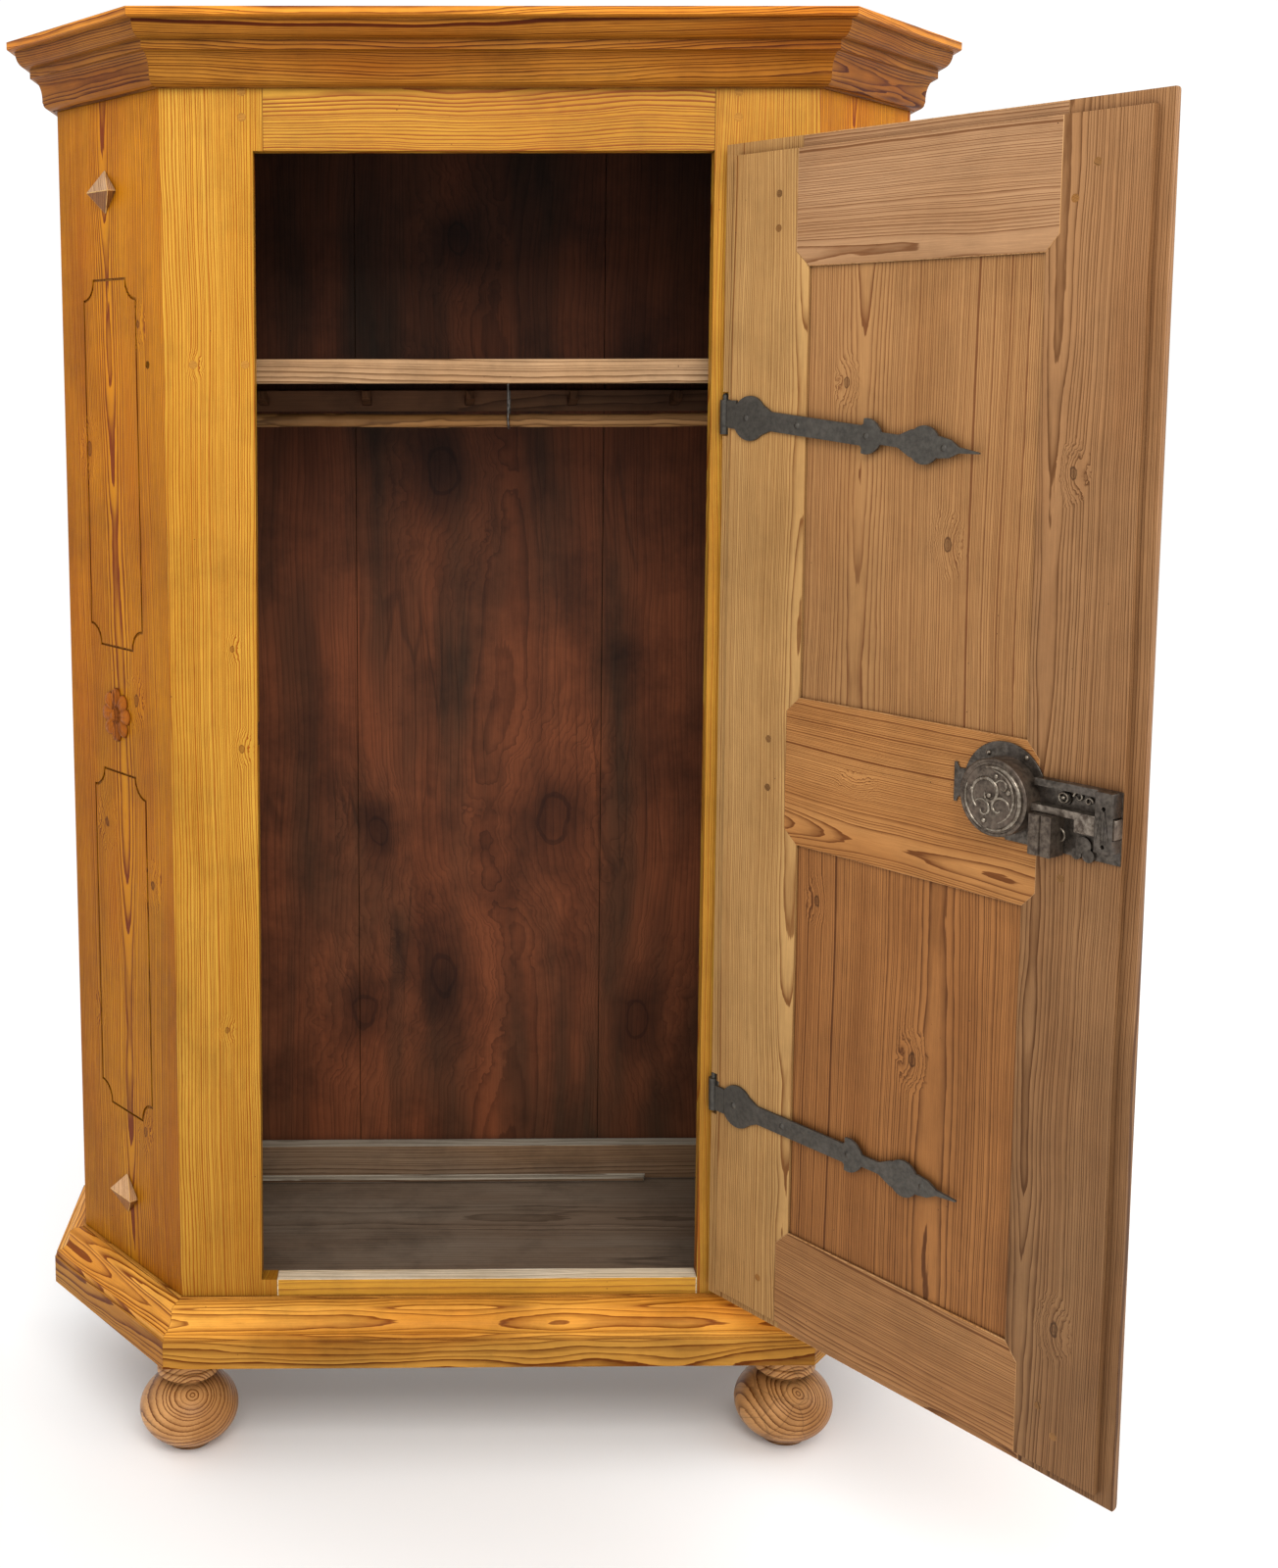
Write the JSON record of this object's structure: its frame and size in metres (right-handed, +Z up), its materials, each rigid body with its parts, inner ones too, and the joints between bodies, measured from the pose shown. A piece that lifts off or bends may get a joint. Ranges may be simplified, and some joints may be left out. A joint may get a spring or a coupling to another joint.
{
  "type": "one-door wardrobe",
  "caption": "Free-standing pine wardrobe with chamfered front corners, moulded cornice and plinth, turned ball feet, a hinged panelled door and an iron lock.",
  "frame": {"origin": "on the floor under the centre of the carcass", "axes": "+Z up, -Y out of the front of the wardrobe, +X to the right as seen from the front"},
  "size_m": [1.2737, 0.9, 1.86],
  "materials": {
    "outer_pine": "waxed old pine, honey brown, satin",
    "moulding_pine": "stained and waxed pine, reddish brown, satin",
    "inner_pine": "dark stained rough pine, matt",
    "door_pine": "faded brown pine, matt",
    "strap_iron": "wrought iron, pitted and worn",
    "lock_steel": "filed iron, brown patina, half bright"
  },
  "bodies": {
    "carcass": {"side_left": "outer_pine", "side_right": "outer_pine", "corner_left": "outer_pine", "corner_right": "outer_pine", "stile_left": "outer_pine", "stile_right": "outer_pine", "top_rail": "outer_pine", "bottom_rail": "outer_pine", "back_boards": "inner_pine", "top_board": "outer_pine", "floor_board_front": "inner_pine", "floor_board_rear": "inner_pine", "floor_batten": "inner_pine", "floor_cleats": "inner_pine", "foot_blocks": "inner_pine", "foot_front_left": "moulding_pine", "foot_front_right": "moulding_pine", "foot_rear_left": "moulding_pine", "foot_rear_right": "moulding_pine", "cornice_front": "moulding_pine", "cornice_corner_left": "moulding_pine", "cornice_corner_right": "moulding_pine", "cornice_side_left": "moulding_pine", "cornice_side_right": "moulding_pine", "plinth_front": "moulding_pine", "plinth_corner_left": "moulding_pine", "plinth_corner_right": "moulding_pine", "plinth_side_left": "moulding_pine", "plinth_side_right": "moulding_pine", "shelf": "inner_pine", "shelf_cleats": "inner_pine", "clothes_rail": "outer_pine", "rail_sockets": "inner_pine", "rail_hook": "strap_iron", "peg_rail": "inner_pine", "coat_pegs": "inner_pine", "diamond_studs": "moulding_pine", "rosettes": "moulding_pine", "frame_pegs": "outer_pine", "pintle_upper": "strap_iron", "pintle_lower": "strap_iron"},
    "door": {"hinge_stile": "door_pine", "lock_stile": "door_pine", "door_top_rail": "door_pine", "door_mid_rail": "door_pine", "door_bottom_rail": "door_pine", "panel_upper": "door_pine", "panel_lower": "door_pine", "strap_upper": "strap_iron", "strap_lower": "strap_iron", "strap_nails": "lock_steel", "door_pegs": "door_pine", "lock_plate": "lock_steel", "lock_drum": "lock_steel", "lock_spring": "lock_steel", "lock_bracket": "lock_steel", "lock_guide": "lock_steel", "lock_leaf": "strap_iron", "escutcheon": "strap_iron"},
    "bolt": {"lock_bolt": "lock_steel"}
  },
  "joints": [
    {"name": "door_hinge", "type": "hinge", "parent": "carcass", "child": "door", "pos_m": [0.291, -0.211, 0.9], "axis": [0, 0, 1], "range_deg": [-126.5, 34]},
    {"name": "bolt_slide", "type": "slide", "parent": "door", "child": "bolt", "axis": [0.5948, -0.8039, 0], "range_m": [0, 0.012]}
  ]
}
